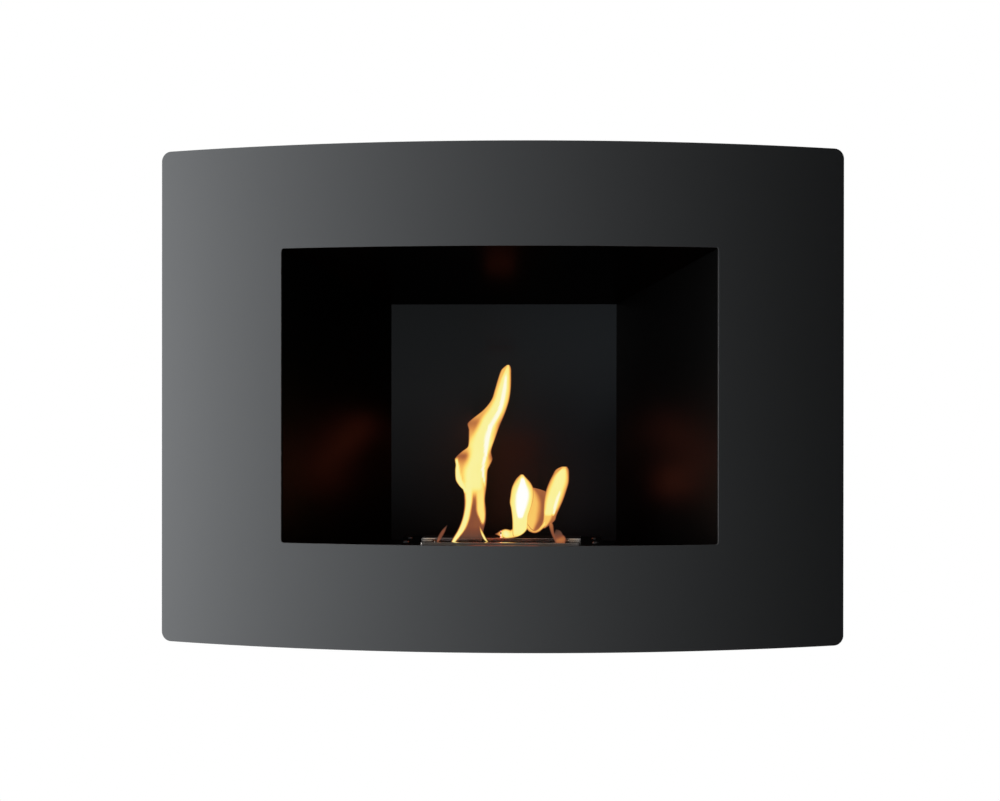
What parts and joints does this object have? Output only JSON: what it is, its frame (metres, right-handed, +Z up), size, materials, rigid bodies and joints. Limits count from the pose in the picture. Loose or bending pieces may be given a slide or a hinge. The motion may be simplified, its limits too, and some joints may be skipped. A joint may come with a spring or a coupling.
{
  "type": "wall-mounted fireplace",
  "caption": "Wall-mounted bioethanol fireplace with a curved steel front panel, a splayed firebox, a lift-out burner with a sliding regulator lid, and a wall rail it hangs on.",
  "frame": {"origin": "centre of the wall rail's rear face, which lies against the wall", "axes": "+X to the right seen from the front, +Y back into the wall, +Z up; the front panel faces -Y"},
  "size_m": [0.7, 0.2, 0.505],
  "materials": {
    "panel_paint": "satin graphite powder coat",
    "casing_paint": "fine-textured black powder coat",
    "firebox_paint": "satin heat-resistant black paint",
    "stainless": "brushed stainless steel",
    "zinc": "zinc plated",
    "blackened_steel": "blackened steel",
    "ceramic_wool": "matt fibre",
    "rubber": "matt"
  },
  "bodies": {
    "wall_rail": {"wall_rail": "zinc"},
    "fireplace": {"hanger_left": "zinc", "hanger_right": "zinc", "hanger_rivet_left_upper": "zinc", "hanger_rivet_left_lower": "zinc", "hanger_rivet_right_upper": "zinc", "hanger_rivet_right_lower": "zinc", "spacer_left": "rubber", "spacer_right": "rubber", "front_panel": "panel_paint", "panel_bracket_top_left": "casing_paint", "panel_bracket_top_right": "casing_paint", "panel_bracket_bottom_left": "casing_paint", "panel_bracket_bottom_right": "casing_paint", "panel_screw_top_left": "zinc", "panel_screw_top_right": "zinc", "panel_screw_bottom_left": "zinc", "panel_screw_bottom_right": "zinc", "casing_top": "casing_paint", "casing_bottom": "casing_paint", "casing_left": "casing_paint", "casing_right": "casing_paint", "casing_back": "casing_paint", "casing_rivet_top_left_front": "zinc", "casing_rivet_top_left_rear": "zinc", "casing_rivet_top_right_front": "zinc", "casing_rivet_top_right_rear": "zinc", "casing_rivet_bottom_left_front": "zinc", "casing_rivet_bottom_left_rear": "zinc", "casing_rivet_bottom_right_front": "zinc", "casing_rivet_bottom_right_rear": "zinc", "back_rivet_top_left": "zinc", "back_rivet_top_right": "zinc", "back_rivet_bottom_left": "zinc", "back_rivet_bottom_right": "zinc", "firebox_floor": "firebox_paint", "firebox_wall_left": "firebox_paint", "firebox_wall_right": "firebox_paint", "firebox_hood": "firebox_paint", "fireback": "firebox_paint", "shelf_screw_left_front": "zinc", "shelf_screw_left_rear": "zinc", "shelf_screw_right_front": "zinc", "shelf_screw_right_rear": "zinc", "burner_holder": "firebox_paint", "holder_screw_left_front": "blackened_steel", "holder_screw_left_rear": "blackened_steel", "holder_screw_right_front": "blackened_steel", "holder_screw_right_rear": "blackened_steel"},
    "burner": {"burner_tank": "stainless", "burner_plate": "stainless", "wool_pad": "ceramic_wool", "wool_screen": "stainless"},
    "regulator_lid": {"regulator_lid": "stainless", "lid_pin": "stainless"}
  },
  "joints": [
    {"name": "hang_lift", "type": "slide", "parent": "wall_rail", "child": "fireplace", "axis": [0, 0, 1], "range_m": [0, 0.016]},
    {"name": "burner_lift", "type": "slide", "parent": "fireplace", "child": "burner", "axis": [0, 0, 1], "range_m": [0, 0.07]},
    {"name": "lid_slide", "type": "slide", "parent": "burner", "child": "regulator_lid", "axis": [0, -1, 0], "range_m": [0, 0.03]}
  ]
}
